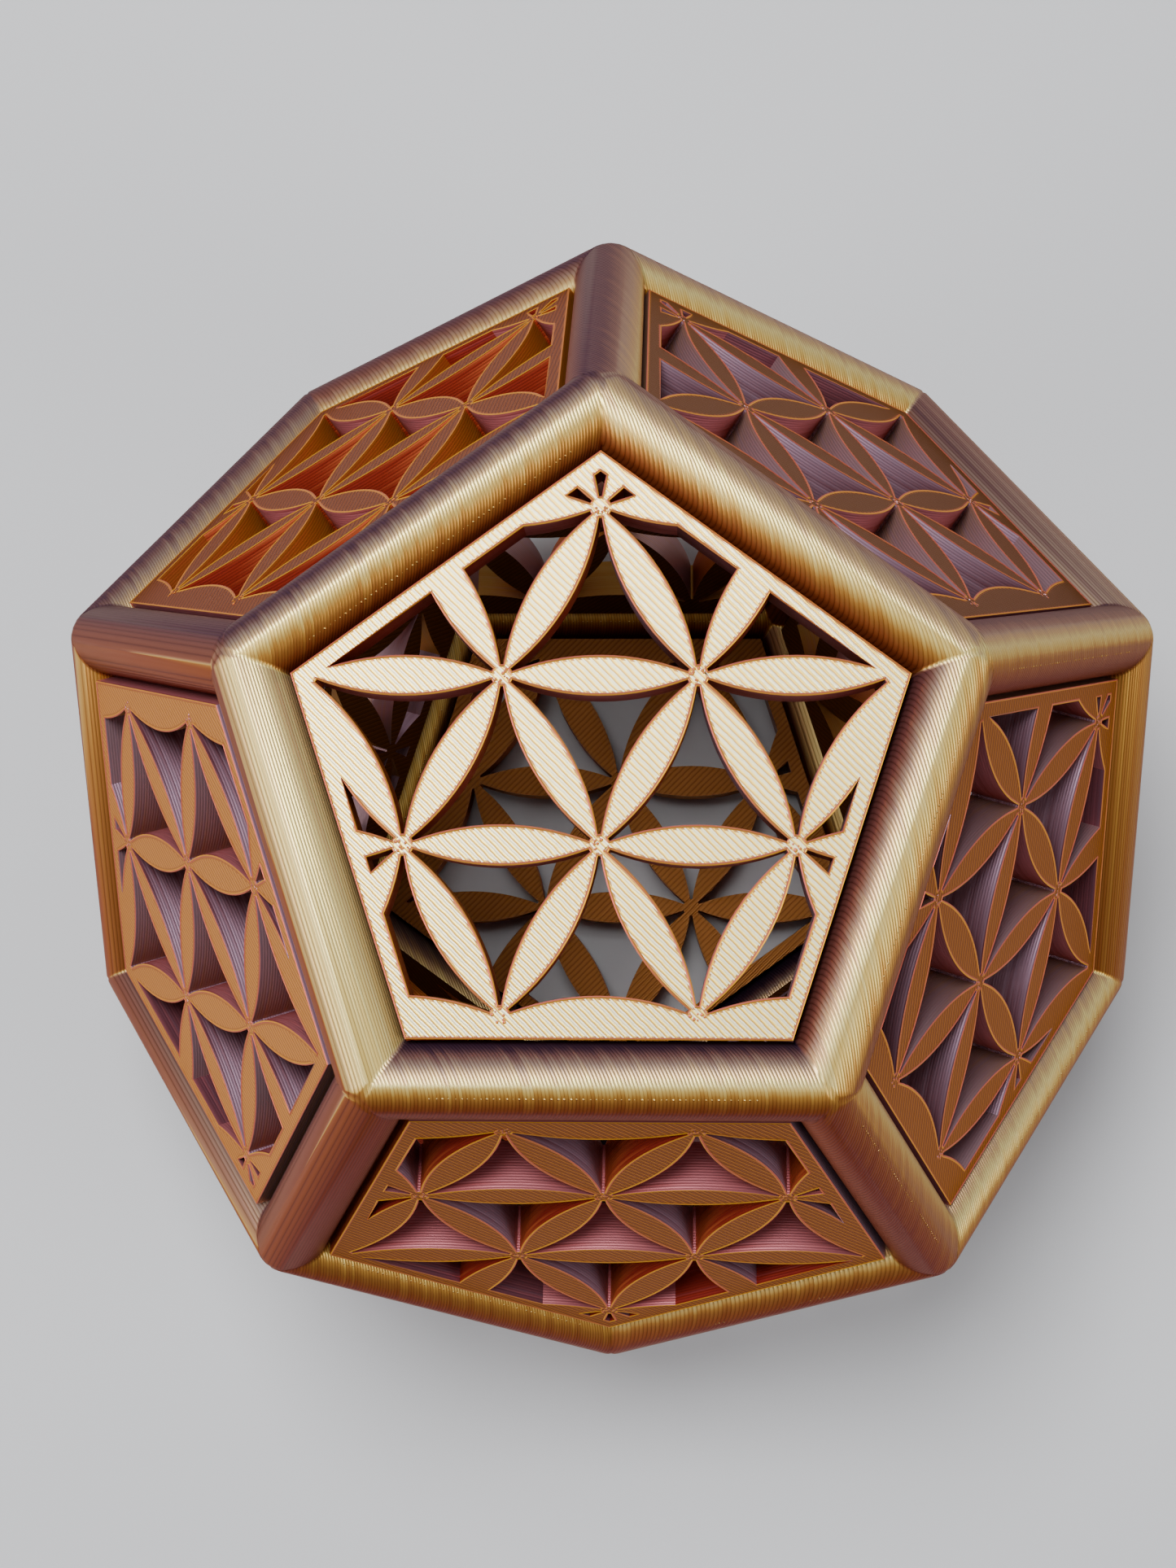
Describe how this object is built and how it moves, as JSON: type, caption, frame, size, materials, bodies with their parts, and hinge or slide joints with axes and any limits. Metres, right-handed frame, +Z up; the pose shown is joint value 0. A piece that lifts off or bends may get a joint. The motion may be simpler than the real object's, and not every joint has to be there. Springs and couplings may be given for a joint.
{
  "type": "openwork dodecahedron cage",
  "caption": "Hollow twelve-sided ornament: a one-piece frame of round bars, with a lattice panel pushed into each five-sided opening.",
  "frame": {"origin": "bottom centre of the cage, on the surface it stands on", "axes": "+Z up through the middle of the top panel, +Y towards a corner of the top panel"},
  "size_m": [0.1566, 0.1642, 0.1347],
  "materials": {
    "frame": "silk gold, purple and copper printed PLA",
    "panels": "silk gold and copper printed PLA"
  },
  "bodies": {
    "frame": {"top_bar_1": "frame", "upper_bar_1": "frame", "lower_bar_1": "frame", "bottom_bar_1": "frame", "top_bar_2": "frame", "upper_bar_2": "frame", "lower_bar_2": "frame", "bottom_bar_2": "frame", "top_bar_3": "frame", "upper_bar_3": "frame", "lower_bar_3": "frame", "bottom_bar_3": "frame", "top_bar_4": "frame", "upper_bar_4": "frame", "lower_bar_4": "frame", "bottom_bar_4": "frame", "top_bar_5": "frame", "upper_bar_5": "frame", "lower_bar_5": "frame", "bottom_bar_5": "frame", "waist_bar_1": "frame", "waist_bar_2": "frame", "waist_bar_3": "frame", "waist_bar_4": "frame", "waist_bar_5": "frame", "waist_bar_6": "frame", "waist_bar_7": "frame", "waist_bar_8": "frame", "waist_bar_9": "frame", "waist_bar_10": "frame"},
    "top_panel": {"top_panel": "panels"},
    "upper_1_panel": {"upper_1_panel": "panels"},
    "upper_2_panel": {"upper_2_panel": "panels"},
    "upper_3_panel": {"upper_3_panel": "panels"},
    "upper_4_panel": {"upper_4_panel": "panels"},
    "upper_5_panel": {"upper_5_panel": "panels"},
    "lower_1_panel": {"lower_1_panel": "panels"},
    "lower_2_panel": {"lower_2_panel": "panels"},
    "lower_3_panel": {"lower_3_panel": "panels"},
    "lower_4_panel": {"lower_4_panel": "panels"},
    "lower_5_panel": {"lower_5_panel": "panels"},
    "bottom_panel": {"bottom_panel": "panels"}
  },
  "joints": [
    {"name": "top_panel_slide", "type": "slide", "parent": "frame", "child": "top_panel", "axis": [0, 0, 1], "range_m": [0, 0.04]},
    {"name": "upper_1_panel_slide", "type": "slide", "parent": "frame", "child": "upper_1_panel", "axis": [-0.5257, 0.7236, 0.4472], "range_m": [0, 0.04]},
    {"name": "upper_2_panel_slide", "type": "slide", "parent": "frame", "child": "upper_2_panel", "axis": [-0.8507, -0.2764, 0.4472], "range_m": [0, 0.04]},
    {"name": "upper_3_panel_slide", "type": "slide", "parent": "frame", "child": "upper_3_panel", "axis": [0, -0.8944, 0.4472], "range_m": [0, 0.04]},
    {"name": "upper_4_panel_slide", "type": "slide", "parent": "frame", "child": "upper_4_panel", "axis": [0.8507, -0.2764, 0.4472], "range_m": [0, 0.04]},
    {"name": "upper_5_panel_slide", "type": "slide", "parent": "frame", "child": "upper_5_panel", "axis": [0.5257, 0.7236, 0.4472], "range_m": [0, 0.04]},
    {"name": "lower_1_panel_slide", "type": "slide", "parent": "frame", "child": "lower_1_panel", "axis": [0, 0.8944, -0.4472], "range_m": [0, 0.04]},
    {"name": "lower_2_panel_slide", "type": "slide", "parent": "frame", "child": "lower_2_panel", "axis": [-0.8507, 0.2764, -0.4472], "range_m": [0, 0.04]},
    {"name": "lower_3_panel_slide", "type": "slide", "parent": "frame", "child": "lower_3_panel", "axis": [-0.5257, -0.7236, -0.4472], "range_m": [0, 0.04]},
    {"name": "lower_4_panel_slide", "type": "slide", "parent": "frame", "child": "lower_4_panel", "axis": [0.5257, -0.7236, -0.4472], "range_m": [0, 0.04]},
    {"name": "lower_5_panel_slide", "type": "slide", "parent": "frame", "child": "lower_5_panel", "axis": [0.8507, 0.2764, -0.4472], "range_m": [0, 0.04]},
    {"name": "bottom_panel_slide", "type": "slide", "parent": "frame", "child": "bottom_panel", "axis": [0, 0, -1], "range_m": [0, 0.04]}
  ]
}
